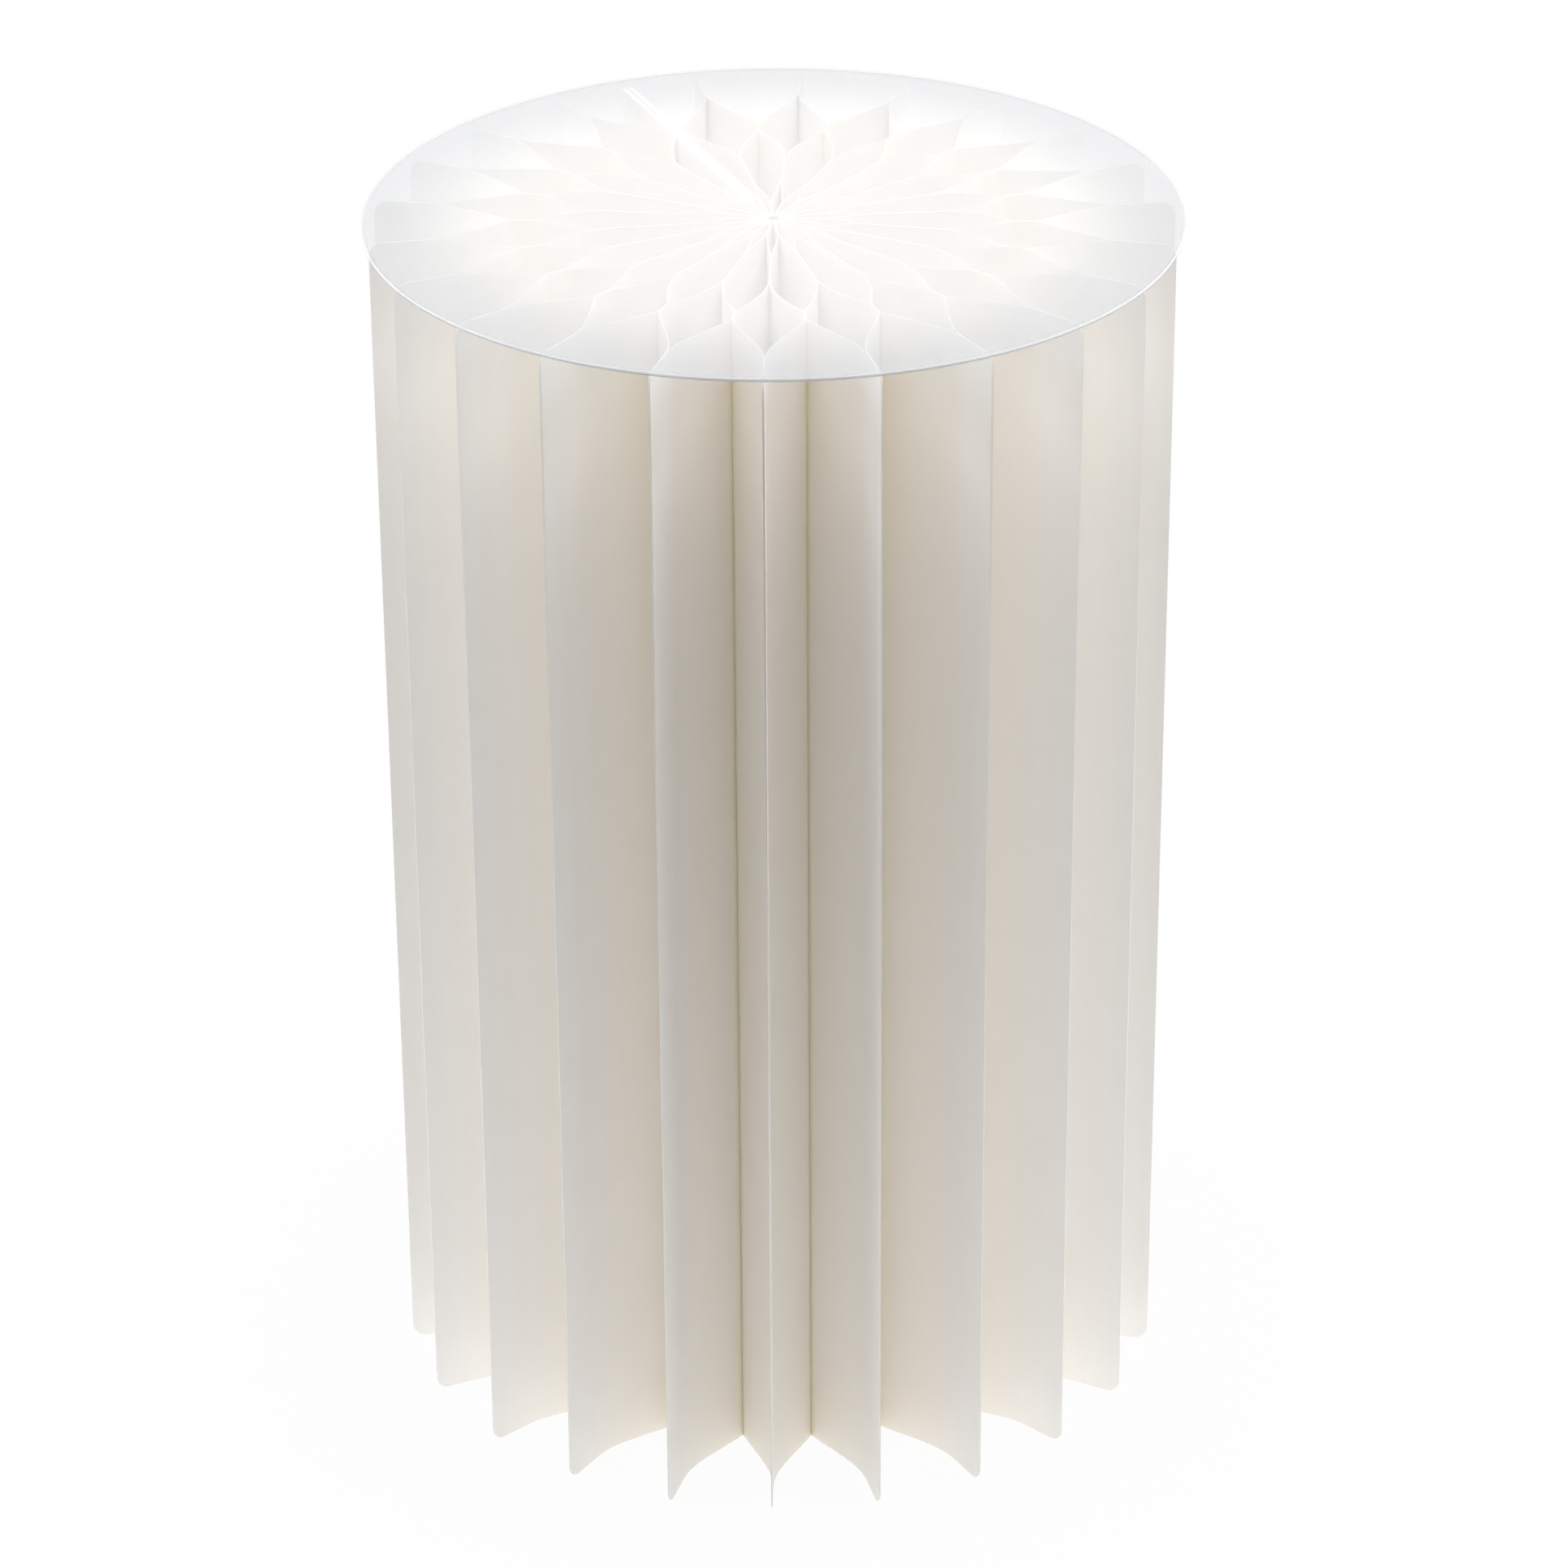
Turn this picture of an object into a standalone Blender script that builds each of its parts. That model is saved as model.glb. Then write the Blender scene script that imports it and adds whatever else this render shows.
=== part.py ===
"""Folding honeycomb paper pedestal with a loose clear disc on top.

Two-leaf paper petals stand round a glued spine and open like a fan. Two cover boards, one at each
end of the fan, meet back to back at a seam and are held by gripping pads.
Metres, +Z up, origin on the floor under the spine. The front petal faces -Y.
"""

import math

import bmesh
import bpy

# Overall sizes
TOTAL_HEIGHT = 0.635
DISC_DIAMETER = 0.406
DISC_THICKNESS = 0.002
DISC_EDGE_ROUND = 0.0003
RING_RADIUS = 0.200
CORNER_RADIUS = 0.007

# Sheet stock and the clearances between pieces that touch
PAPER_THICKNESS = 0.0005
BOARD_THICKNESS = 0.002
GLUE_GAP = 0.0002
REST_GAP = 0.0003

# The fan: petals are evenly spaced, apart from the wider gap that holds the seam
PETAL_COUNT = 22
FRONT_PETAL = 10
FRONT_AZIMUTH = math.radians(268.7)
SEAM_GAP_ANGLE = math.radians(22.7)
PETAL_PITCH = (2 * math.pi - SEAM_GAP_ANGLE) / (PETAL_COUNT - 1)
SEAM_AZIMUTH = FRONT_AZIMUTH - (FRONT_PETAL - 1) * PETAL_PITCH - SEAM_GAP_ANGLE / 2

# Glued bands, as radii from the spine
SPINE_RADIUS = 0.007
CORE_BAND = (0.016, 0.021)
INNER_BAND = (0.050, 0.079)
VALLEY_BAND = (0.117, 0.128)
TIP_BAND = (0.174, RING_RADIUS)
VALLEY_SHARPNESS = 0.5

# The seam and its closure
SEAM_WIDTH = 0.0014
BOARD_INNER_RADIUS = 0.026
LINING_FLAT_RADIUS = 0.028
LINING_SPINE_OFFSET = 0.0003
PAD_SIZE = 0.022
PAD_THICKNESS = 0.00045
PAD_RADIUS = 0.170
PAD_HEIGHTS = {"low": 0.090, "mid": 0.3165, "top": 0.543}

# Mesh density
RAMP_STEPS = 6
CORNER_STEPS = 4
DISC_SIDES = 96

BOARD_TOP = TOTAL_HEIGHT - DISC_THICKNESS - REST_GAP
PAPER_TOP = BOARD_TOP - REST_GAP
GLUED_OFFSET = (PAPER_THICKNESS + GLUE_GAP) / 2
LINING_OFFSET = SEAM_WIDTH / 2 + BOARD_THICKNESS + GLUE_GAP + PAPER_THICKNESS / 2


def clear_scene():
    for obj in list(bpy.data.objects):
        bpy.data.objects.remove(obj, do_unlink=True)


def make_material(name, colour, roughness, alpha=1.0):
    material = bpy.data.materials.new(name)
    material.use_nodes = True
    shader = material.node_tree.nodes["Principled BSDF"]
    shader.inputs["Base Color"].default_value = (*colour, 1.0)
    shader.inputs["Roughness"].default_value = roughness
    shader.inputs["Metallic"].default_value = 0.0
    shader.inputs["Alpha"].default_value = alpha
    return material


def smooth(t):
    return t * t * (3 - 2 * t)


def bend(t):
    """How far a leaf has swung from its petal's middle plane, t = 0, to the valley, t = 1."""
    return (1 - VALLEY_SHARPNESS) * smooth(t) + VALLEY_SHARPNESS * t * t


def share(radius):
    """0 where a petal's two leaves are glued together, 1 where a leaf meets its neighbour."""
    if radius <= CORE_BAND[1]:
        return 1.0
    if radius < INNER_BAND[0]:
        return bend((INNER_BAND[0] - radius) / (INNER_BAND[0] - CORE_BAND[1]))
    if radius <= INNER_BAND[1]:
        return 0.0
    if radius < VALLEY_BAND[0]:
        return bend((radius - INNER_BAND[1]) / (VALLEY_BAND[0] - INNER_BAND[1]))
    if radius <= VALLEY_BAND[1]:
        return 1.0
    if radius < TIP_BAND[0]:
        return bend((TIP_BAND[0] - radius) / (TIP_BAND[0] - VALLEY_BAND[1]))
    return 0.0


def lining_offset(radius):
    """Distance from the seam's middle plane to the paper that lines a cover board."""
    t = min(1.0, (radius - SPINE_RADIUS) / (LINING_FLAT_RADIUS - SPINE_RADIUS))
    return LINING_SPINE_OFFSET + (LINING_OFFSET - LINING_SPINE_OFFSET) * smooth(t)


def steps(start, end, count):
    return [start + (end - start) * i / count for i in range(1, count + 1)]


def corner_stations():
    """Radii that follow the rounded outer corner, ending at the ring's radius."""
    centre = RING_RADIUS - CORNER_RADIUS
    angles = [math.pi / 2 * i / CORNER_STEPS for i in range(CORNER_STEPS + 1)]
    return [centre + CORNER_RADIUS * math.sin(angle) for angle in angles]


def leaf_stations():
    stations = [SPINE_RADIUS]
    stations += steps(SPINE_RADIUS, CORE_BAND[0], 2)
    stations += [CORE_BAND[1]]
    stations += steps(CORE_BAND[1], INNER_BAND[0], 4)
    stations += [INNER_BAND[1]]
    stations += steps(INNER_BAND[1], VALLEY_BAND[0], RAMP_STEPS)
    stations += [VALLEY_BAND[1]]
    stations += steps(VALLEY_BAND[1], TIP_BAND[0], RAMP_STEPS)
    return stations + corner_stations()


def corner_cut(radius):
    """How much the rounded corner takes off a sheet's height at this radius."""
    past = max(0.0, radius - (RING_RADIUS - CORNER_RADIUS))
    return CORNER_RADIUS - math.sqrt(max(0.0, CORNER_RADIUS**2 - past**2))


def sheet_mesh(name, stations, sideways):
    """A standing sheet: one column per station, at the sideways distance given for its radius."""
    mesh = bpy.data.meshes.new(name)
    form = bmesh.new()
    columns = []
    for radius in stations:
        cut = corner_cut(radius)
        across = sideways(radius)
        foot = form.verts.new((radius, across, cut))
        head = form.verts.new((radius, across, PAPER_TOP - cut))
        columns.append((foot, head))
    for (foot, head), (next_foot, next_head) in zip(columns, columns[1:]):
        form.faces.new((foot, next_foot, next_head, head))
    form.to_mesh(mesh)
    form.free()
    mesh.shade_smooth()
    return mesh


def leaf_mesh(name, side, beside_seam):
    """One leaf of a petal, along local +X, bulging to the side (+1 or -1) it stands on."""

    def sideways(radius):
        if beside_seam:
            edge = SEAM_GAP_ANGLE / 2
            clear = lining_offset(radius) + 2 * GLUED_OFFSET
        else:
            edge = PETAL_PITCH / 2
            clear = GLUED_OFFSET
        reach = radius * math.tan(edge) - clear / math.cos(edge)
        if radius < CORE_BAND[0]:
            spread = radius * math.tan(PETAL_PITCH / 2) / 2
            t = (radius - SPINE_RADIUS) / (CORE_BAND[0] - SPINE_RADIUS)
            return side * (spread + (reach - spread) * smooth(t))
        return side * (GLUED_OFFSET + share(radius) * (reach - GLUED_OFFSET))

    return sheet_mesh(name, leaf_stations(), sideways)


def lining_mesh(name, side):
    stations = steps(SPINE_RADIUS, LINING_FLAT_RADIUS, RAMP_STEPS)
    stations = [SPINE_RADIUS] + stations + corner_stations()
    return sheet_mesh(name, stations, lambda radius: side * lining_offset(radius))


def make_object(name, mesh, material, parent):
    obj = bpy.data.objects.new(name, mesh)
    bpy.context.scene.collection.objects.link(obj)
    obj.parent = parent
    if not mesh.materials:
        mesh.materials.append(material)
    return obj


def thicken(obj):
    solidify = obj.modifiers.new("paper_thickness", "SOLIDIFY")
    solidify.thickness = PAPER_THICKNESS
    solidify.offset = 0.0
    solidify.use_even_offset = True


def make_axis(name, azimuth):
    """An empty on the spine, turned so that its +X runs out along this azimuth."""
    axis = bpy.data.objects.new(name, None)
    bpy.context.scene.collection.objects.link(axis)
    axis.rotation_euler = (0.0, 0.0, azimuth)
    return axis


def slab_mesh(name, outline, near, far):
    """An outline in the local XZ plane, extruded along Y from near to far."""
    mesh = bpy.data.meshes.new(name)
    form = bmesh.new()
    face = form.faces.new([form.verts.new((x, near, z)) for x, z in outline])
    extruded = bmesh.ops.extrude_face_region(form, geom=[face])["geom"]
    moved = [item for item in extruded if isinstance(item, bmesh.types.BMVert)]
    bmesh.ops.translate(form, vec=(0.0, far - near, 0.0), verts=moved)
    bmesh.ops.recalc_face_normals(form, faces=form.faces)
    form.to_mesh(mesh)
    form.free()
    return mesh


def board_outline():
    """A cover board's outline, with its two outer corners rounded."""
    stations = corner_stations()
    foot = [(radius, corner_cut(radius)) for radius in stations]
    head = [(radius, BOARD_TOP - corner_cut(radius)) for radius in reversed(stations)]
    return [(BOARD_INNER_RADIUS, 0.0)] + foot + head + [(BOARD_INNER_RADIUS, BOARD_TOP)]


def pad_outline(height):
    half = PAD_SIZE / 2
    corners = ((-half, -half), (half, -half), (half, half), (-half, half))
    return [(PAD_RADIUS + x, height + z) for x, z in corners]


def make_petals(paper):
    inner = {side: leaf_mesh(f"leaf_{letter}", side, False) for letter, side in (("a", -1), ("b", 1))}
    first = leaf_mesh("leaf_beside_cover_a", -1, True)
    last = leaf_mesh("leaf_beside_cover_b", 1, True)
    for number in range(1, PETAL_COUNT + 1):
        azimuth = FRONT_AZIMUTH + (number - FRONT_PETAL) * PETAL_PITCH
        axis = make_axis(f"petal_{number:02d}_axis", azimuth)
        mesh_a = first if number == 1 else inner[-1]
        mesh_b = last if number == PETAL_COUNT else inner[1]
        thicken(make_object(f"leaf_{number:02d}a", mesh_a, paper, axis))
        thicken(make_object(f"leaf_{number:02d}b", mesh_b, paper, axis))


def make_cover(letter, side, pad_name, paper, board, pad):
    """A cover board with its paper lining towards the petals and its pads towards the seam."""
    axis = make_axis(f"cover_{letter}_axis", SEAM_AZIMUTH)
    near = side * SEAM_WIDTH / 2
    far = near + side * BOARD_THICKNESS
    mesh = slab_mesh(f"end_board_{letter}", board_outline(), near, far)
    make_object(f"end_board_{letter}", mesh, board, axis)
    thicken(make_object(f"end_leaf_{letter}", lining_mesh(f"end_leaf_{letter}", side), paper, axis))
    pad_near = side * REST_GAP / 2
    pad_far = pad_near + side * PAD_THICKNESS
    for place, height in PAD_HEIGHTS.items():
        name = f"{pad_name}_pad_{place}"
        make_object(name, slab_mesh(name, pad_outline(height), pad_near, pad_far), pad, axis)


def make_disc(clear):
    mesh = bpy.data.meshes.new("top_disc")
    form = bmesh.new()
    bmesh.ops.create_cone(
        form,
        cap_ends=True,
        segments=DISC_SIDES,
        radius1=DISC_DIAMETER / 2,
        radius2=DISC_DIAMETER / 2,
        depth=DISC_THICKNESS,
    )
    rims = [edge for edge in form.edges if any(len(face.verts) > 4 for face in edge.link_faces)]
    bmesh.ops.bevel(form, geom=rims, offset=DISC_EDGE_ROUND, segments=2, affect="EDGES", profile=0.5)
    form.to_mesh(mesh)
    form.free()
    disc = make_object("top_disc", mesh, clear, None)
    disc.location = (0.0, 0.0, TOTAL_HEIGHT - DISC_THICKNESS / 2)


def main():
    clear_scene()
    paper = make_material("white_paper", (0.88, 0.86, 0.82), 0.85)
    board = make_material("white_board", (0.93, 0.93, 0.93), 0.6)
    clear = make_material("clear_acrylic", (0.92, 0.93, 0.96), 0.12, alpha=0.3)
    pad = make_material("gripping_pad", (0.85, 0.85, 0.85), 0.95)
    make_petals(paper)
    make_cover("a", 1, "hook", paper, board, pad)
    make_cover("b", -1, "loop", paper, board, pad)
    make_disc(clear)


main()
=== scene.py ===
"""Looks for a folding honeycomb paper pedestal with a loose clear disc lying on it.

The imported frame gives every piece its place. This script gives the paper leaves, the cover boards, the
closure pads and the disc their fine meshes and finishes, and sets a pale studio round them.
Metres, +Z up. The spine stands on the origin and the front petal faces -Y.
"""

import math
import random

import bpy
from mathutils import Matrix, Vector


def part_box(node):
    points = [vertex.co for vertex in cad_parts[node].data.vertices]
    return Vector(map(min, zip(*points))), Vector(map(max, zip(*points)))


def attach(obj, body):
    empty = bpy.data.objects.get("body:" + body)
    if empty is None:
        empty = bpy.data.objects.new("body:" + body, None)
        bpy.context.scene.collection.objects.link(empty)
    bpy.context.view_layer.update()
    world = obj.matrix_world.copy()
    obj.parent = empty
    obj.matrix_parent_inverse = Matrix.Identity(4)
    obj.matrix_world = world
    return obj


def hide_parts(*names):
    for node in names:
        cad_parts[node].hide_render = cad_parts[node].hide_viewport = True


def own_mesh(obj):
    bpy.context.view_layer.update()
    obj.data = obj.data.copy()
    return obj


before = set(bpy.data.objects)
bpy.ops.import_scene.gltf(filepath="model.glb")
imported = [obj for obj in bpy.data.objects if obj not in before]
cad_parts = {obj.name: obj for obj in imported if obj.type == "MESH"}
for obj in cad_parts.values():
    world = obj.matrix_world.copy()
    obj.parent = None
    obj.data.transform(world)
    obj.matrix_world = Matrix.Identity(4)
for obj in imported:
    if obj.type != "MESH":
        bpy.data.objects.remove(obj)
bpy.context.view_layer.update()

# Sizes read from the frame
DISC_LOW, DISC_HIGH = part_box("top_disc")
DISC_RADIUS = DISC_HIGH.x
DISC_THICKNESS = DISC_HIGH.z - DISC_LOW.z
BOARD_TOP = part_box("end_board_a")[1].z
PAPER_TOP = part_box("leaf_01a")[1].z

# The fan: evenly spaced petals, apart from the wider gap that holds the seam
PETAL_COUNT = 22
FRONT_PETAL = 10
FRONT_AZIMUTH = math.radians(268.7)
SEAM_GAP_ANGLE = math.radians(22.7)
PETAL_PITCH = (2 * math.pi - SEAM_GAP_ANGLE) / (PETAL_COUNT - 1)
SEAM_AZIMUTH = FRONT_AZIMUTH - (FRONT_PETAL - 1) * PETAL_PITCH - SEAM_GAP_ANGLE / 2

# Radii of a leaf's glued bands, out from the spine
RING_RADIUS = 0.200
CORNER_RADIUS = 0.007
ROOT_RADIUS = 0.0028
SPINE_RADIUS = 0.007
CORE_BAND = (0.016, 0.021)
INNER_BAND = (0.050, 0.079)
VALLEY_BAND = (0.117, 0.128)
TIP_START = 0.174
VALLEY_SHARPNESS = 0.75

# Sheet stock
PAPER_THICKNESS = 0.0003
GLUE_GAP = 0.0002
GLUED_OFFSET = 0.00017
BOARD_THICKNESS = 0.002
BOARD_EDGE_ROUND = 0.00025
BOARD_EDGE_STEPS = 2

# A petal's tip springs open towards its head, between these levels
TIP_OPENING = 0.00022
TIP_OPENING_LEVELS = (0.35, 0.95)

# The disc, and the cloudy core inside its wall
DISC_EDGE_ROUND = 0.0005
DISC_EDGE_STEPS = 3
CORE_RADIUS = DISC_RADIUS - 0.0015
CORE_THICKNESS = 0.6 * DISC_THICKNESS

# The seam and its closure
SEAM_WIDTH = 0.0014
BOARD_INNER_RADIUS = 0.026
LINING_FLAT_RADIUS = 0.028
LINING_SPINE_OFFSET = 0.0003
LINING_OFFSET = SEAM_WIDTH / 2 + BOARD_THICKNESS + GLUE_GAP + PAPER_THICKNESS / 2
PAD_SIZE = 0.022
PAD_CORNER = 0.002
PAD_CORNER_STEPS = 6
PAD_PLATE = 0.0002
PAD_PLATE_OFFSET = 0.0005
PAD_RADIUS = 0.170
PAD_HEIGHTS = (0.090, 0.3165, 0.543)
NAP_MARGIN = 0.0012
HOOK_ROWS = 16
HOOK_ROD = 0.00005
HOOK_PATH = ((0.0, 0.0, 0.0), (0.0001, 0.0, 0.00039), (0.0003, 0.0, 0.00005))
LOOP_ROWS = 22
LOOP_ROD = 0.00002
LOOP_PATH = ((-0.0003, 0.0, 0.0), (0.0, 0.0, 0.00045), (0.0003, 0.0, 0.0))
NAP_STEPS = 7
NAP_SIDES = 5

# Hand-made irregularity
SEED = 7
PETAL_SWAY = math.radians(0.35)
VALLEY_SWAY = math.radians(0.30)
BULGE_SWAY = 0.05
BULGE_WAVES = 1.5
NOISE_MEAN = 0.5

# Mesh density: how many columns each run of a sheet takes, and the rows up its height
LEAF_RUNS = (
    ("root", CORE_BAND[0], 6),
    ("core", CORE_BAND[1], 2),
    ("inner_ramp", INNER_BAND[0], 12),
    ("inner_band", INNER_BAND[1], 3),
    ("outer_ramp", VALLEY_BAND[0], 18),
    ("valley", VALLEY_BAND[1], 3),
    ("tip_ramp", TIP_START, 20),
    ("tip_band", RING_RADIUS - CORNER_RADIUS, 3),
    ("corner", RING_RADIUS, 8),
)
LINING_RUNS = (
    ("root", LINING_FLAT_RADIUS, 8),
    ("flat", RING_RADIUS - CORNER_RADIUS, 10),
    ("corner", RING_RADIUS, 8),
)
BOARD_RUNS = (
    ("flat", RING_RADIUS - CORNER_RADIUS, 10),
    ("corner", RING_RADIUS, 5),
)
SHEET_ROWS = 16
DISC_SIDES = 256
SHARP_ANGLE = math.radians(40)
MERGE_DISTANCE = 1e-6

# Octaves of the finer mottles in the finishes
FINE_DETAIL = 3.0

# Paper: each pair of tones is the deeper and the paler end of one mottled colour
# The inner colour is painted warm bounced light. It fades out to the plain paper towards the tips.
WARM_LIGHT_PAINTED_PAPER = ((0.918, 0.864, 0.782, 1.0), (0.962, 0.916, 0.846, 1.0))
PLAIN_PAPER = ((0.868, 0.845, 0.812, 1.0), (0.922, 0.902, 0.873, 1.0))
WARM_LIGHT_PAINTED_RADIUS = 0.128
PLAIN_PAPER_RADIUS = 0.195
# The glued band in the valleys: a glue tint, lightened with painted light against the valleys' shade
GLUE_TINT_AND_PAINTED_LIGHT = (0.980, 0.935, 0.790, 1.0)
GLUE_AND_PAINTED_LIGHT_START = 0.112
GLUE_AND_PAINTED_LIGHT_END = 0.136
GLUE_AND_PAINTED_LIGHT_DEPTH = 0.8
CLOUD_SCALE = 45.0
FIBRE_SCALE = 1400.0
FIBRE_ROUGHNESS = 0.6
GRAIN_SCALE = 900.0
GRAIN_STRETCH = (1.0, 1.0, 0.06)
CLOUD_TONE = 0.5
GRAIN_TONE = 0.3
FIBRE_TONE = 0.2
FIBRE_RELIEF = 0.6
GRAIN_RELIEF = 0.4
PAPER_RELIEF = 0.00005
PAPER_RELIEF_STRENGTH = 0.6
PAPER_ROUGHNESS = 0.80
PAPER_ROUGHNESS_GAIN = 0.14
PAPER_GLOSS = 0.25

# The part of the lamps' light that one face of the paper lets through
PAPER_FILTER = (0.64, 0.60, 0.53, 1.0)

# The paper's cut edge, painted darker than the faces as shade
CUT_EDGE_PAINTED_SHADE_TONES = ((0.75, 0.73, 0.69, 1.0), (0.86, 0.845, 0.81, 1.0))
CUT_EDGE_SCALE = 2600.0
CUT_EDGE_RELIEF = 0.00004
CUT_EDGE_RELIEF_STRENGTH = 0.5
CUT_EDGE_ROUGHNESS = 0.85
CUT_EDGE_ROUGHNESS_GAIN = 0.1
CUT_EDGE_GLOSS = 0.2

# Cover boards
BOARD_TONES = ((0.90, 0.90, 0.905, 1.0), (0.945, 0.945, 0.95, 1.0))
BOARD_CLOUD_SCALE = 60.0
BOARD_PIT_SCALE = 1800.0
BOARD_RELIEF = 0.00002
BOARD_RELIEF_STRENGTH = 0.4
BOARD_ROUGHNESS = 0.5
BOARD_ROUGHNESS_GAIN = 0.15

# Clear acrylic, from its rim to a paler middle that is painted glow, and its polished edge
ACRYLIC_RIM = (0.456, 0.457, 0.464, 1.0)
ACRYLIC_PAINTED_GLOW = (0.569, 0.559, 0.556, 1.0)
PAINTED_GLOW_RADIUS = 0.125
HAZE_SCALE = 14.0
HAZE_ALPHA = 0.295
HAZE_ALPHA_GAIN = 0.01
HAIRLINE_SCALE = 900.0
HAIRLINE_STRETCH = (1.0, 0.03, 1.0)
ACRYLIC_ROUGHNESS = 0.10
ACRYLIC_ROUGHNESS_GAIN = 0.10
ACRYLIC_IOR = 1.49
FACE_GLOSS = 0.5
CORE_GLOSS = 0.0
# The rim's colour by height: painted shadow along its lower part, a painted highlight along its upper part
RIM_PAINTED_SHADOW_AND_HIGHLIGHT = ((0.50, 0.50, 0.50, 1.0), (0.96, 0.965, 0.975, 1.0))
RIM_PAINTED_SHADOW_SHARE = 0.35
RIM_PAINTED_HIGHLIGHT_SHARE = 0.60
RIM_ALPHA = 0.75
RIM_ROUGHNESS = 0.2

# Closure pads
PAD_TONES = ((0.80, 0.80, 0.80, 1.0), (0.92, 0.92, 0.92, 1.0))
PAD_WEAVE_SCALE = 2200.0
PAD_RELIEF = 0.00008
PAD_ROUGHNESS = 0.6
PAD_ROUGHNESS_GAIN = 0.3

# The studio
WHITE = (1.0, 1.0, 1.0, 1.0)
AMBIENT_COLOUR = (1.0, 0.99, 0.97, 1.0)
AMBIENT_STRENGTH = 0.06
FLOOR_COLOUR = (0.88, 0.88, 0.88, 1.0)
FLOOR_HALF = 8.0
FLOOR_LEVEL = -0.0002
FLOOR_CORNERS = ((-1, -1), (1, -1), (1, 1), (-1, 1))
SHADOW_SHARE = 0.05
SHADOW_START = 0.20
SHADOW_END = 0.45

# Soft lamps: name, place, aim, size, watts and colour. One size is a disc's, two are a rectangle's.
LAMPS = (
    ("overhead", (0.0, 0.0, 1.35), (0.0, 0.0, 0.6), (1.0, 1.0), 13.8, (1.0, 1.0, 1.0)),
    ("left", (-1.7, 0.0, 0.8), (0.0, 0.0, 0.3), (1.2, 1.6), 16.8, (0.94, 1.0, 1.08)),
    ("right", (1.7, 0.0, 0.8), (0.0, 0.0, 0.3), (1.2, 1.6), 18.6, (0.95, 1.0, 1.06)),
    ("light_table", (0.0, 0.0, -0.0001), (0.0, 0.0, 1.0), (2.8,), 14.4, (0.98, 1.0, 1.03)),
)

# The photograph's view
CAMERA_PLACE = (0.0, -2.6727, 1.7168)
CAMERA_PITCH = math.radians(27.633)
CAMERA_YAW = math.radians(0.075)
CAMERA_ROLL = math.radians(-0.364)
CAMERA_LENS = 133.82
CAMERA_SENSOR = 36.0


class Value:
    """An output socket of a node tree. Arithmetic on it adds Math nodes to that tree."""

    def __init__(self, tree, socket):
        self.tree = tree
        self.socket = socket

    def other(self, name):
        """Another output of the same node."""
        return Value(self.tree, self.socket.node.outputs[name])

    def __add__(self, more):
        return self.tree.math("ADD", self, more)

    def __radd__(self, more):
        return self.tree.math("ADD", more, self)

    def __sub__(self, less):
        return self.tree.math("SUBTRACT", self, less)

    def __rsub__(self, whole):
        return self.tree.math("SUBTRACT", whole, self)

    def __mul__(self, times):
        return self.tree.math("MULTIPLY", self, times)

    def __rmul__(self, times):
        return self.tree.math("MULTIPLY", times, self)

    def __truediv__(self, parts):
        return self.tree.math("DIVIDE", self, parts)

    def clamped(self):
        return self.tree.math("ADD", self, 0.0, use_clamp=True)


class Tree:
    """A node tree under construction. Every node in it comes from node()."""

    # The Mix node has a set of sockets for each kind of value. These are the colours'.
    MIX_FIRST = 6
    MIX_SECOND = 7
    MIX_RESULT = 2

    def __init__(self, tree):
        self.tree = tree
        tree.nodes.clear()

    def node(self, kind, sockets=None, out=0, **settings):
        """A new node: its settings first, then its sockets by name or index. Gives the output asked for."""
        made = self.tree.nodes.new(kind)
        for name, setting in settings.items():
            setattr(made, name, setting)
        for key, given in (sockets or {}).items():
            self.feed(made.inputs[key], given)
        return Value(self, made.outputs[out]) if made.outputs else made

    def feed(self, socket, given):
        """Links a socket to a value, or to each of several, or sets it to a plain number or colour."""
        if isinstance(given, (list, tuple)) and isinstance(given[0], Value):
            for one in given:
                self.tree.links.new(one.socket, socket)
        elif isinstance(given, Value):
            self.tree.links.new(given.socket, socket)
        else:
            socket.default_value = given

    def math(self, operation, first, second=0.0, **settings):
        return self.node("ShaderNodeMath", {0: first, 1: second}, operation=operation, **settings)

    def vector(self, x, y, z):
        return self.node("ShaderNodeCombineXYZ", {0: x, 1: y, 2: z})

    def scaled(self, vector, times):
        return self.node("ShaderNodeVectorMath", {0: vector, "Scale": times}, operation="SCALE")

    def mixed(self, factor, first, second):
        """A colour between two colours."""
        sockets = {0: factor, self.MIX_FIRST: first, self.MIX_SECOND: second}
        return self.node("ShaderNodeMix", sockets, out=self.MIX_RESULT, data_type="RGBA")

    def noise(self, vector, scale, detail=2.0, roughness=0.5):
        sockets = {"Vector": vector, "Scale": scale, "Detail": detail, "Roughness": roughness}
        return self.node("ShaderNodeTexNoise", sockets)

    def stretched(self, vector, scale):
        return self.node("ShaderNodeMapping", {"Vector": vector, "Scale": scale})

    def ramped(self, value, start, end):
        """A smooth rise from 0 at the start to 1 at the end."""
        sockets = {"Value": value, "From Min": start, "From Max": end}
        return self.node("ShaderNodeMapRange", sockets, interpolation_type="SMOOTHSTEP")

    def radius(self, place):
        """Distance from the spine."""
        flat = self.stretched(place, (1.0, 1.0, 0.0))
        return self.node("ShaderNodeVectorMath", {0: flat}, out="Value", operation="LENGTH")


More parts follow.
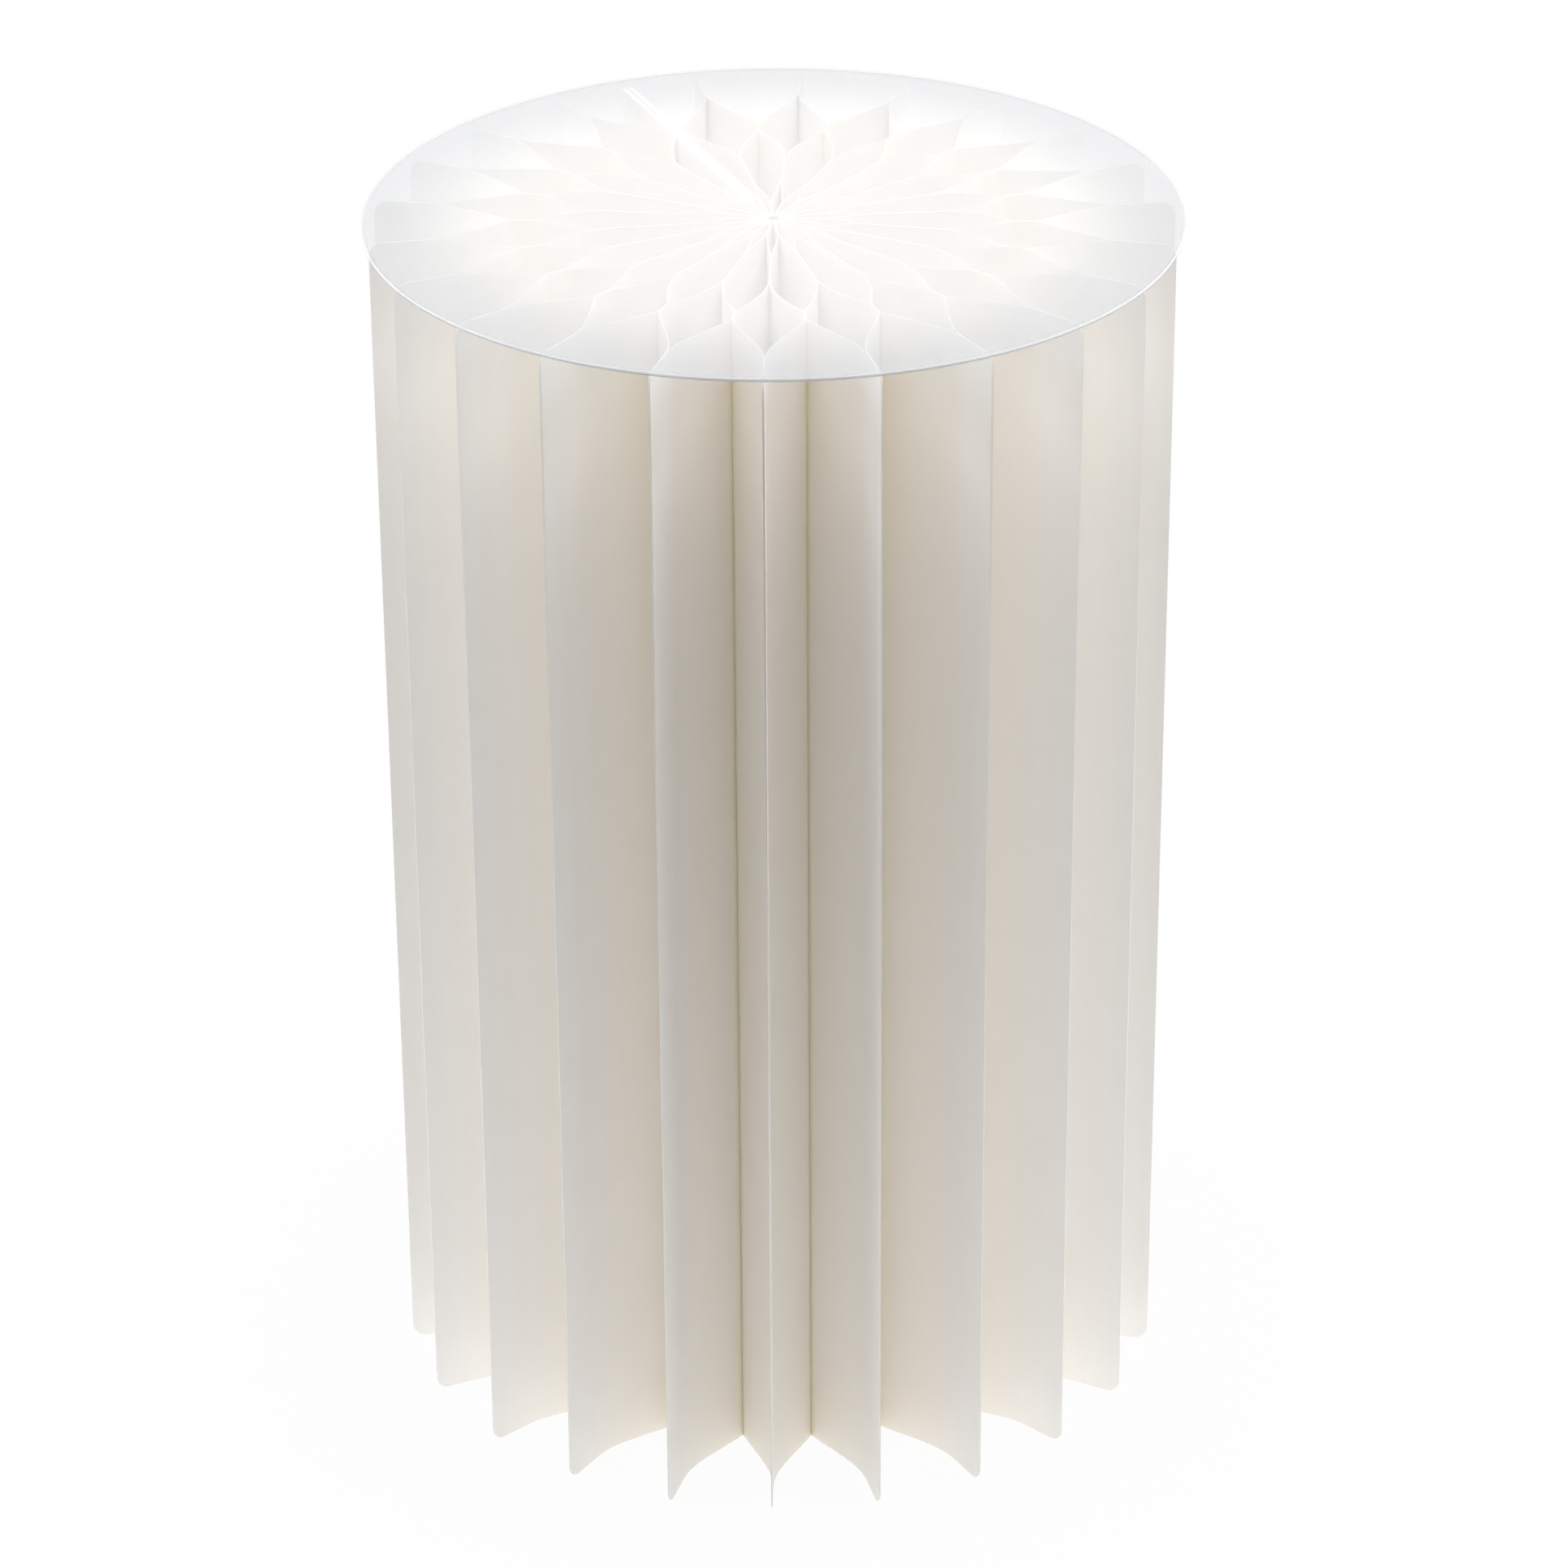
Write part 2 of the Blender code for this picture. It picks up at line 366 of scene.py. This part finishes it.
class ShapeTree(Tree):
    """A Geometry Nodes tree with named number inputs."""

    def __init__(self, name):
        super().__init__(bpy.data.node_groups.new(name, "GeometryNodeTree"))
        self.tree.interface.new_socket("Geometry", in_out="OUTPUT", socket_type="NodeSocketGeometry")
        self.keys = {}

    def number(self, name, start=0.0):
        """A named input of the tree."""
        socket = self.tree.interface.new_socket(name, in_out="INPUT", socket_type="NodeSocketFloat")
        socket.default_value = start
        self.keys[name] = socket.identifier
        return self.node("NodeGroupInput", out=name)

    def turning(self, x, y, z):
        """A rotation from its three angles."""
        return self.node("FunctionNodeEulerToRotation", {0: self.vector(x, y, z)})

    def joined(self, shapes):
        return self.node("GeometryNodeJoinGeometry", {0: shapes})

    def finish(self, shape, finishes):
        """Ends the tree. finishes are (material, selection) pairs, and a selection of None is everything."""
        shape = self.node("GeometryNodeRealizeInstances", {"Geometry": shape})
        shape = self.node("GeometryNodeSetShadeSmooth", {"Geometry": shape, "Shade Smooth": True})
        for material, selection in finishes:
            sockets = {"Geometry": shape, "Material": material}
            if selection is not None:
                sockets["Selection"] = selection
            shape = self.node("GeometryNodeSetMaterial", sockets)
        self.node("NodeGroupOutput", {0: shape})

    def grown(self, name, numbers=None, finishing=None):
        """A plain mesh object grown from the tree with these inputs and an optional finishing modifier."""
        seedling = bpy.data.objects.new(name, bpy.data.meshes.new(name))
        bpy.context.scene.collection.objects.link(seedling)
        modifier = seedling.modifiers.new("shape", "NODES")
        modifier.node_group = self.tree
        for key, number in (numbers or {}).items():
            modifier[self.keys[key]] = number
        if finishing:
            finishing(seedling)
        graph = bpy.context.evaluated_depsgraph_get()
        mesh = bpy.data.meshes.new_from_object(seedling.evaluated_get(graph))
        bpy.data.objects.remove(seedling)
        mesh.name = name
        mesh.set_sharp_from_angle(angle=SHARP_ANGLE)
        piece = bpy.data.objects.new(name, mesh)
        bpy.context.scene.collection.objects.link(piece)
        return piece


# Shapes


def smooth(t):
    return t * t * (3 - 2 * t)


def bend(t):
    """How far a leaf has swung from its petal's middle plane, t = 0, to the valley, t = 1."""
    return (1 - VALLEY_SHARPNESS) * smooth(t) + VALLEY_SHARPNESS * t * t


def lining_offset(radius):
    """Distance from the seam's middle plane to the paper that lines a cover board."""
    t = ((radius - SPINE_RADIUS) / (LINING_FLAT_RADIUS - SPINE_RADIUS)).clamped()
    return LINING_SPINE_OFFSET + (LINING_OFFSET - LINING_SPINE_OFFSET) * smooth(t)


def standing_sheet(tree, start, runs, height, sideways):
    """A standing sheet that follows its runs out from a start radius, with its outer corners rounded.

    sideways gives its distance from the local XZ plane, from the radius, the share of each run that is
    passed, and the level from 0 at the foot to 1 at the head.
    """
    columns = sum(steps for _, _, steps in runs)
    sizes = {"Size X": columns, "Size Y": 1.0, "Vertices X": columns + 1, "Vertices Y": SHEET_ROWS + 1}
    grid = tree.node("GeometryNodeMeshGrid", sizes)
    spot = tree.node("ShaderNodeSeparateXYZ", {0: tree.node("GeometryNodeInputPosition")})
    column = spot + columns / 2
    level = spot.other("Y") + 0.5
    radius = start
    passed = {}
    done = 0
    near = start
    for name, far, steps in runs:
        passed[name] = ((column - done) / steps).clamped()
        share = passed[name]
        if name == "corner":
            share = tree.math("SINE", share * (math.pi / 2))
        radius = radius + (far - near) * share
        near = far
        done += steps
    cut = CORNER_RADIUS * (1 - tree.math("COSINE", passed["corner"] * (math.pi / 2)))
    place = tree.vector(radius, sideways(radius, passed, level), cut + level * (height - 2 * cut))
    return tree.node("GeometryNodeSetPosition", {"Geometry": grid, "Position": place})


def thickened(tree, sheet, thickness):
    """A closed wall with the sheet in its middle, and the selection of its cut edge."""
    normal = tree.node("GeometryNodeInputNormal")
    sockets = {"Geometry": sheet, "Offset": tree.scaled(normal, -thickness / 2)}
    back = tree.node("GeometryNodeSetPosition", sockets)
    sockets = {"Mesh": back, "Offset Scale": thickness, "Individual": False}
    front = tree.node("GeometryNodeExtrudeMesh", sockets, mode="FACES")
    shell = tree.joined([front, tree.node("GeometryNodeFlipFaces", {"Mesh": back})])
    sockets = {"Geometry": shell, "Distance": MERGE_DISTANCE}
    return tree.node("GeometryNodeMergeByDistance", sockets), front.other("Side")


def turned(tree, shape, azimuth):
    """The shape turned round the spine."""
    sockets = {"Geometry": shape, "Rotation": tree.turning(0.0, 0.0, azimuth)}
    return tree.node("GeometryNodeTransform", sockets)


def leaf_surface(tree, side, edge, seam, seed):
    """One leaf of a petal, along local +X, bulging to its side as far as its edge angle allows.

    seam is 1 for a leaf that meets a cover board's lining and 0 for one that meets another leaf.
    """

    def sideways(radius, passed, level):
        inner = bend(1 - passed["inner_ramp"])
        outer = bend(passed["outer_ramp"])
        tip = bend(1 - passed["tip_ramp"])
        share = inner + outer + tip - 1
        clear = GLUED_OFFSET + seam * (lining_offset(radius) + GLUED_OFFSET)
        reach = radius * tree.math("TANGENT", edge) - clear / tree.math("COSINE", edge)
        spread = radius * (math.tan(PETAL_PITCH / 2) / 2)
        place = tree.vector(seed, side, level * BULGE_WAVES)
        sway = tree.noise(place, scale=1.0, detail=1.0) - NOISE_MEAN
        free = share * (1 - share) * (4 * BULGE_SWAY)
        across = GLUED_OFFSET + (share + free * sway) * (reach - GLUED_OFFSET)
        parted = smooth(passed["tip_band"]) * tree.ramped(level, *TIP_OPENING_LEVELS) * TIP_OPENING
        return side * (across + parted - (1 - smooth(passed["root"])) * (reach - spread))

    return standing_sheet(tree, ROOT_RADIUS, LEAF_RUNS, PAPER_TOP, sideways)


def petal_tree(paper, cut_edge):
    """A petal: two leaves, glued to each other at the tip and near the spine."""
    tree = ShapeTree("petal")
    azimuth = tree.number("Azimuth")
    seed = tree.number("Seed")
    leaves = []
    finishes = [(paper, None)]
    for name, side in (("left", -1.0), ("right", 1.0)):
        edge = tree.number(f"Edge angle {name}", PETAL_PITCH / 2)
        seam = tree.number(f"Seam {name}")
        leaf, rim = thickened(tree, leaf_surface(tree, side, edge, seam, seed), PAPER_THICKNESS)
        leaves.append(leaf)
        finishes.append((cut_edge, rim))
    tree.finish(turned(tree, tree.joined(leaves), azimuth), finishes)
    return tree


def lining_tree(paper, cut_edge):
    """The paper pasted on a cover board, which runs on to the spine as the board's hinge."""
    tree = ShapeTree("board_lining")
    side = tree.number("Side", 1.0)

    def sideways(radius, passed, level):
        return side * lining_offset(radius)

    sheet = standing_sheet(tree, ROOT_RADIUS, LINING_RUNS, PAPER_TOP, sideways)
    sheet, rim = thickened(tree, sheet, PAPER_THICKNESS)
    tree.finish(turned(tree, sheet, SEAM_AZIMUTH), [(paper, None), (cut_edge, rim)])
    return tree


def board_tree(board):
    """A stiff cover board on one side of the seam."""
    tree = ShapeTree("cover_board")
    side = tree.number("Side", 1.0)

    def sideways(radius, passed, level):
        return side * ((SEAM_WIDTH + BOARD_THICKNESS) / 2)

    sheet = standing_sheet(tree, BOARD_INNER_RADIUS, BOARD_RUNS, BOARD_TOP, sideways)
    sheet, _ = thickened(tree, sheet, BOARD_THICKNESS)
    tree.finish(turned(tree, sheet, SEAM_AZIMUTH), [(board, None)])
    return tree


def pad_plate(tree):
    """The thin rounded plate of a closure pad, lying flat."""
    outline = tree.node("GeometryNodeCurvePrimitiveQuadrilateral", {"Width": PAD_SIZE, "Height": PAD_SIZE})
    sockets = {"Curve": outline, "Radius": PAD_CORNER, "Count": PAD_CORNER_STEPS}
    outline = tree.node("GeometryNodeFilletCurve", sockets, mode="POLY")
    plate = tree.node("GeometryNodeFillCurve", {"Curve": outline}, mode="NGONS")
    plate, _ = thickened(tree, plate, PAD_PLATE)
    return plate


def pad_nap(tree, rows, path, rod):
    """Bent threads on a grid, each turned its own way, that stand on a pad's plate."""
    sockets = {"Resolution": NAP_STEPS, "Start": path[0], "Middle": path[1], "End": path[2]}
    line = tree.node("GeometryNodeCurveQuadraticBezier", sockets)
    profile = tree.node("GeometryNodeCurvePrimitiveCircle", {"Resolution": NAP_SIDES, "Radius": rod})
    sockets = {"Curve": line, "Profile Curve": profile, "Fill Caps": True}
    thread = tree.node("GeometryNodeCurveToMesh", sockets)
    width = PAD_SIZE - 2 * NAP_MARGIN
    sockets = {"Size X": width, "Size Y": width, "Vertices X": rows, "Vertices Y": rows}
    grid = tree.node("GeometryNodeMeshGrid", sockets)
    sockets = {0: (0.0, 0.0, 0.0), 1: (0.0, 0.0, 2 * math.pi), "Seed": SEED}
    turns = tree.node("FunctionNodeRandomValue", sockets, data_type="FLOAT_VECTOR")
    turns = tree.node("FunctionNodeEulerToRotation", {0: turns})
    sockets = {"Points": grid, "Instance": thread, "Rotation": turns}
    nap = tree.node("GeometryNodeInstanceOnPoints", sockets)
    sockets = {"Geometry": nap, "Translation": (0.0, 0.0, PAD_PLATE / 2)}
    return tree.node("GeometryNodeTransform", sockets)


def pads_tree(name, rows, path, rod, pad):
    """The closure pads of one cover board."""
    tree = ShapeTree(name)
    side = tree.number("Side", 1.0)
    one = tree.joined([pad_plate(tree), pad_nap(tree, rows, path, rod)])
    upright = tree.turning(side * (math.pi / 2), 0.0, 0.0)
    pads = []
    for height in PAD_HEIGHTS:
        place = tree.vector(PAD_RADIUS, side * PAD_PLATE_OFFSET, height)
        sockets = {"Geometry": one, "Translation": place, "Rotation": upright}
        pads.append(tree.node("GeometryNodeTransform", sockets))
    tree.finish(turned(tree, tree.joined(pads), SEAM_AZIMUTH), [(pad, None)])
    return tree


def round_slab(tree, radius, thickness, face):
    """A round slab in one finish, and the selection of its rim."""
    sockets = {"Vertices": DISC_SIDES, "Radius": radius}
    circle = tree.node("GeometryNodeMeshCircle", sockets, fill_type="NGON")
    slab, rim = thickened(tree, circle, thickness)
    return tree.node("GeometryNodeSetMaterial", {"Geometry": slab, "Material": face}), rim


def disc_tree(acrylic, core, polished_edge):
    """The clear disc, lying on the boards' upper edges. Inside its wall lies a faintly cloudy core."""
    tree = ShapeTree("clear_disc")
    wall, rim = round_slab(tree, DISC_RADIUS, DISC_THICKNESS, acrylic)
    cloud, _ = round_slab(tree, CORE_RADIUS, CORE_THICKNESS, core)
    middle = tree.vector(0.0, 0.0, (DISC_LOW.z + DISC_HIGH.z) / 2)
    sockets = {"Geometry": tree.joined([wall, cloud]), "Translation": middle}
    disc = tree.node("GeometryNodeTransform", sockets)
    tree.finish(disc, [(polished_edge, rim)])
    return tree


def rounded(width, segments):
    """A finishing step that rounds sharp edges."""

    def finishing(piece):
        bevel = piece.modifiers.new("rounded_edges", "BEVEL")
        bevel.width = width
        bevel.segments = segments
        bevel.limit_method = "ANGLE"

    return finishing


# Finishes


def new_finish(name):
    """A material with its tree, and the object's own coordinates."""
    material = bpy.data.materials.new(name)
    material.use_nodes = True
    tree = Tree(material.node_tree)
    coords = tree.node("ShaderNodeTexCoord", out="Object")
    return material, tree, coords


def surface(tree, sockets):
    """Ends a finish with one Principled shader."""
    shader = tree.node("ShaderNodeBsdfPrincipled", sockets)
    tree.node("ShaderNodeOutputMaterial", {"Surface": shader})


def lit_through(tree, sockets, filtered):
    """Ends a finish so thin that it lets some of the lamps' light through, filtered by this colour."""
    shader = tree.node("ShaderNodeBsdfPrincipled", sockets)
    clear = tree.node("ShaderNodeBsdfTransparent", {"Color": filtered})
    path = tree.node("ShaderNodeLightPath", out="Is Shadow Ray")
    mix = tree.node("ShaderNodeMixShader", {0: path, 1: shader, 2: clear})
    tree.node("ShaderNodeOutputMaterial", {"Surface": mix})


def see_through(tree, sockets, hidden=0.0):
    """Ends a finish that veils what is seen through it, and lets the lamps' light pass to what is below."""
    shader = tree.node("ShaderNodeBsdfPrincipled", sockets)
    clear = tree.node("ShaderNodeBsdfTransparent")
    path = tree.node("ShaderNodeLightPath", out="Is Shadow Ray")
    unseen = (path + path.other("Is Diffuse Ray") + hidden).clamped()
    mix = tree.node("ShaderNodeMixShader", {0: unseen, 1: shader, 2: clear})
    tree.node("ShaderNodeOutputMaterial", {"Surface": mix})


def bumped(tree, height, distance, strength=1.0):
    sockets = {"Height": height, "Distance": distance, "Strength": strength}
    return tree.node("ShaderNodeBump", sockets)


def paper_finish():
    """Warm white uncoated card: cloudy, with fine fibres and a faint upright grain. Painted warm light makes
    it warmer and a little lighter towards the valleys and inside, and the glued band in the valleys is a
    glue tint lightened with painted light.
    """
    material, tree, coords = new_finish("white_paper")
    cloud = tree.noise(coords, CLOUD_SCALE, FINE_DETAIL)
    fibre = tree.noise(coords, FIBRE_SCALE, FINE_DETAIL, FIBRE_ROUGHNESS)
    grain = tree.noise(tree.stretched(coords, GRAIN_STRETCH), GRAIN_SCALE)
    tone = (CLOUD_TONE * cloud + GRAIN_TONE * grain + FIBRE_TONE * fibre).clamped()
    radius = tree.radius(coords)
    # Painted warm bounced light inside, giving way to the plain paper towards the tips
    toward_plain_paper = tree.ramped(radius, WARM_LIGHT_PAINTED_RADIUS, PLAIN_PAPER_RADIUS)
    # Glue tint with painted light, across the glued band in the valleys
    past_glue_and_painted_light = tree.ramped(radius, VALLEY_BAND[1], GLUE_AND_PAINTED_LIGHT_END)
    glue_and_painted_light = tree.ramped(radius, GLUE_AND_PAINTED_LIGHT_START, VALLEY_BAND[0]) * (1 - past_glue_and_painted_light)
    paper_with_painted_warmth = tree.mixed(toward_plain_paper, tree.mixed(tone, *WARM_LIGHT_PAINTED_PAPER), tree.mixed(tone, *PLAIN_PAPER))
    relief = FIBRE_RELIEF * fibre + GRAIN_RELIEF * grain
    sockets = {
        "Base Color": tree.mixed(GLUE_AND_PAINTED_LIGHT_DEPTH * glue_and_painted_light, paper_with_painted_warmth, GLUE_TINT_AND_PAINTED_LIGHT),
        "Roughness": PAPER_ROUGHNESS + PAPER_ROUGHNESS_GAIN * fibre,
        "Normal": bumped(tree, relief, PAPER_RELIEF, PAPER_RELIEF_STRENGTH),
        "Specular IOR Level": PAPER_GLOSS,
    }
    lit_through(tree, sockets, PAPER_FILTER)
    return material


def cut_edge_finish():
    """The guillotined edge of the paper: more open than its faces, and painted darker than them as shade."""
    material, tree, coords = new_finish("paper_cut_edge")
    fibre = tree.noise(coords, CUT_EDGE_SCALE, FINE_DETAIL, FIBRE_ROUGHNESS)
    sockets = {
        "Base Color": tree.mixed(fibre, *CUT_EDGE_PAINTED_SHADE_TONES),
        "Roughness": CUT_EDGE_ROUGHNESS + CUT_EDGE_ROUGHNESS_GAIN * fibre,
        "Normal": bumped(tree, fibre, CUT_EDGE_RELIEF, CUT_EDGE_RELIEF_STRENGTH),
        "Specular IOR Level": CUT_EDGE_GLOSS,
    }
    lit_through(tree, sockets, PAPER_FILTER)
    return material


def board_finish():
    """Cool white covered board with a smooth, slightly mottled face."""
    material, tree, coords = new_finish("white_board")
    cloud = tree.noise(coords, BOARD_CLOUD_SCALE, FINE_DETAIL)
    pits = tree.noise(coords, BOARD_PIT_SCALE)
    sockets = {
        "Base Color": tree.mixed(cloud, *BOARD_TONES),
        "Roughness": BOARD_ROUGHNESS + BOARD_ROUGHNESS_GAIN * pits,
        "Normal": bumped(tree, pits, BOARD_RELIEF, BOARD_RELIEF_STRENGTH),
    }
    surface(tree, sockets)
    return material


def acrylic_finish(name, gloss):
    """Clear acrylic with hairline wear. Its veil is paler towards the middle, which is painted glow."""
    material, tree, coords = new_finish(name)
    haze = tree.noise(coords, HAZE_SCALE, FINE_DETAIL)
    hairlines = tree.noise(tree.stretched(coords, HAIRLINE_STRETCH), HAIRLINE_SCALE)
    # Painted glow: the veil grows paler towards the middle
    painted_glow = 1 - tree.ramped(tree.radius(coords), PAINTED_GLOW_RADIUS, RING_RADIUS)
    sockets = {
        "Base Color": tree.mixed(painted_glow, ACRYLIC_RIM, ACRYLIC_PAINTED_GLOW),
        "Alpha": HAZE_ALPHA + HAZE_ALPHA_GAIN * haze,
        "Roughness": ACRYLIC_ROUGHNESS + ACRYLIC_ROUGHNESS_GAIN * hairlines,
        "IOR": ACRYLIC_IOR,
        "Specular IOR Level": gloss,
    }
    see_through(tree, sockets)
    return material


def acrylic_edge_finish():
    """The disc's polished rim, with a painted highlight along its upper half and painted shadow below."""
    material, tree, coords = new_finish("acrylic_edge")
    height = tree.node("ShaderNodeSeparateXYZ", {0: coords}).other("Z")
    # Painted shadow below the first level, painted highlight above the second
    painted_shadow_level = DISC_LOW.z + RIM_PAINTED_SHADOW_SHARE * DISC_THICKNESS
    painted_highlight_level = DISC_LOW.z + RIM_PAINTED_HIGHLIGHT_SHARE * DISC_THICKNESS
    sockets = {
        "Base Color": tree.mixed(tree.ramped(height, painted_shadow_level, painted_highlight_level), *RIM_PAINTED_SHADOW_AND_HIGHLIGHT),
        "Alpha": RIM_ALPHA,
        "Roughness": RIM_ROUGHNESS,
        "IOR": ACRYLIC_IOR,
    }
    see_through(tree, sockets, tree.node("ShaderNodeNewGeometry", out="Backfacing"))
    return material


def pad_finish():
    """Nylon of the closure pads."""
    material, tree, coords = new_finish("gripping_pad")
    weave = tree.noise(coords, PAD_WEAVE_SCALE)
    sockets = {
        "Base Color": tree.mixed(weave, *PAD_TONES),
        "Roughness": PAD_ROUGHNESS + PAD_ROUGHNESS_GAIN * weave,
        "Normal": bumped(tree, weave, PAD_RELIEF),
    }
    surface(tree, sockets)
    return material


# Pieces


def make_petals(paper, cut_edge):
    """22 petals. Neighbours share each valley's place, so their leaves stay in touch."""
    tree = petal_tree(paper, cut_edge)
    chance = random.Random(SEED)
    azimuths = [FRONT_AZIMUTH + (number - FRONT_PETAL) * PETAL_PITCH for number in range(1, PETAL_COUNT + 1)]
    valleys = [azimuth + PETAL_PITCH / 2 + chance.gauss(0.0, VALLEY_SWAY) for azimuth in azimuths[:-1]]
    valleys = [SEAM_AZIMUTH] + valleys + [SEAM_AZIMUTH + 2 * math.pi]
    for number, azimuth in enumerate(azimuths, 1):
        middle = azimuth + chance.gauss(0.0, PETAL_SWAY)
        numbers = {
            "Azimuth": middle,
            "Seed": float(number),
            "Edge angle left": middle - valleys[number - 1],
            "Edge angle right": valleys[number] - middle,
            "Seam left": float(number == 1),
            "Seam right": float(number == PETAL_COUNT),
        }
        petal = tree.grown(f"paper_petal_{number:02d}", numbers)
        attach(petal, f"petal_{number:02d}")
        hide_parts(f"leaf_{number:02d}a", f"leaf_{number:02d}b")
        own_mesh(petal)


def make_covers(paper, cut_edge, board):
    linings = lining_tree(paper, cut_edge)
    boards = board_tree(board)
    soft_edge = rounded(BOARD_EDGE_ROUND, BOARD_EDGE_STEPS)
    for letter, side in (("a", 1.0), ("b", -1.0)):
        lining = linings.grown(f"board_lining_{letter}", {"Side": side})
        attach(lining, f"cover_{letter}")
        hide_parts(f"end_leaf_{letter}")
        cover = boards.grown(f"cover_board_{letter}", {"Side": side}, soft_edge)
        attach(cover, f"cover_{letter}")
        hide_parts(f"end_board_{letter}")


def make_disc(acrylic, core, polished_edge):
    soft_edge = rounded(DISC_EDGE_ROUND, DISC_EDGE_STEPS)
    disc = disc_tree(acrylic, core, polished_edge).grown("clear_disc", None, soft_edge)
    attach(disc, "disc")
    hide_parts("top_disc")


def make_pads(pad):
    hooks = pads_tree("hook_pads", HOOK_ROWS, HOOK_PATH, HOOK_ROD, pad)
    loops = pads_tree("loop_pads", LOOP_ROWS, LOOP_PATH, LOOP_ROD, pad)
    for kind, tree, letter, side in (("hook", hooks, "a", 1.0), ("loop", loops, "b", -1.0)):
        pads = tree.grown(f"{kind}_pads", {"Side": side})
        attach(pads, f"cover_{letter}")
        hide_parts(f"{kind}_pad_low", f"{kind}_pad_mid", f"{kind}_pad_top")


# Stage


def seen_rays(tree):
    """1 for rays that end in the picture: from the camera, off gloss, or through something clear."""
    path = tree.node("ShaderNodeLightPath", out="Is Camera Ray")
    return (path + path.other("Is Glossy Ray") + path.other("Is Transmission Ray")).clamped()


def make_floor():
    """A pale floor, white where the camera sees it, with the object's soft shadow close round its foot."""
    mesh = bpy.data.meshes.new("floor")
    corners = [(x * FLOOR_HALF, y * FLOOR_HALF, FLOOR_LEVEL) for x, y in FLOOR_CORNERS]
    mesh.from_pydata(corners, [], [(0, 1, 2, 3)])
    floor = bpy.data.objects.new("floor", mesh)
    bpy.context.scene.collection.objects.link(floor)
    material, tree, coords = new_finish("pale_floor")
    away = tree.ramped(tree.radius(coords), SHADOW_START, SHADOW_END)
    matte = tree.node("ShaderNodeBsdfDiffuse", {"Color": FLOOR_COLOUR})
    white = tree.node("ShaderNodeEmission", {"Color": WHITE, "Strength": 1.0})
    seen = seen_rays(tree) * (1 - SHADOW_SHARE + SHADOW_SHARE * away)
    shader = tree.node("ShaderNodeMixShader", {0: seen, 1: matte, 2: white})
    tree.node("ShaderNodeOutputMaterial", {"Surface": shader})
    mesh.materials.append(material)


def make_world():
    """A white backdrop, and a little even light from all round."""
    world = bpy.data.worlds.new("studio")
    bpy.context.scene.world = world
    world.use_nodes = True
    tree = Tree(world.node_tree)
    ambient = tree.node("ShaderNodeBackground", {"Color": AMBIENT_COLOUR, "Strength": AMBIENT_STRENGTH})
    white = tree.node("ShaderNodeBackground", {"Color": WHITE, "Strength": 1.0})
    shader = tree.node("ShaderNodeMixShader", {0: seen_rays(tree), 1: ambient, 2: white})
    tree.node("ShaderNodeOutputWorld", {"Surface": shader})


def make_softbox(name, place, aim, size, watts, colour):
    """A soft lamp that shows neither in the picture nor in gloss."""
    lamp = bpy.data.lights.new(name, "AREA")
    lamp.shape = "RECTANGLE" if len(size) == 2 else "DISK"
    lamp.size = size[0]
    lamp.size_y = size[-1]
    lamp.energy = watts
    lamp.color = colour
    holder = bpy.data.objects.new(name, lamp)
    bpy.context.scene.collection.objects.link(holder)
    holder.location = place
    holder.rotation_euler = (Vector(aim) - Vector(place)).to_track_quat("-Z", "Y").to_euler()
    holder.visible_camera = False
    holder.visible_glossy = False


def make_camera():
    lens = bpy.data.cameras.new("camera")
    lens.lens = CAMERA_LENS
    lens.sensor_width = CAMERA_SENSOR
    camera = bpy.data.objects.new("camera", lens)
    bpy.context.scene.collection.objects.link(camera)
    tilt = Matrix.Rotation(math.pi / 2 - CAMERA_PITCH, 4, "X")
    turn = Matrix.Rotation(-CAMERA_YAW, 4, "Z")
    roll = Matrix.Rotation(CAMERA_ROLL, 4, "Z")
    camera.matrix_world = Matrix.Translation(CAMERA_PLACE) @ turn @ tilt @ roll
    bpy.context.scene.camera = camera


def make_stage():
    make_floor()
    make_world()
    for lamp in LAMPS:
        make_softbox(*lamp)
    make_camera()
    bpy.context.scene.view_settings.view_transform = "Standard"


def main():
    paper = paper_finish()
    cut_edge = cut_edge_finish()
    make_petals(paper, cut_edge)
    make_covers(paper, cut_edge, board_finish())
    face = acrylic_finish("clear_acrylic", FACE_GLOSS)
    core = acrylic_finish("acrylic_core", CORE_GLOSS)
    make_disc(face, core, acrylic_edge_finish())
    make_pads(pad_finish())
    make_stage()


main()
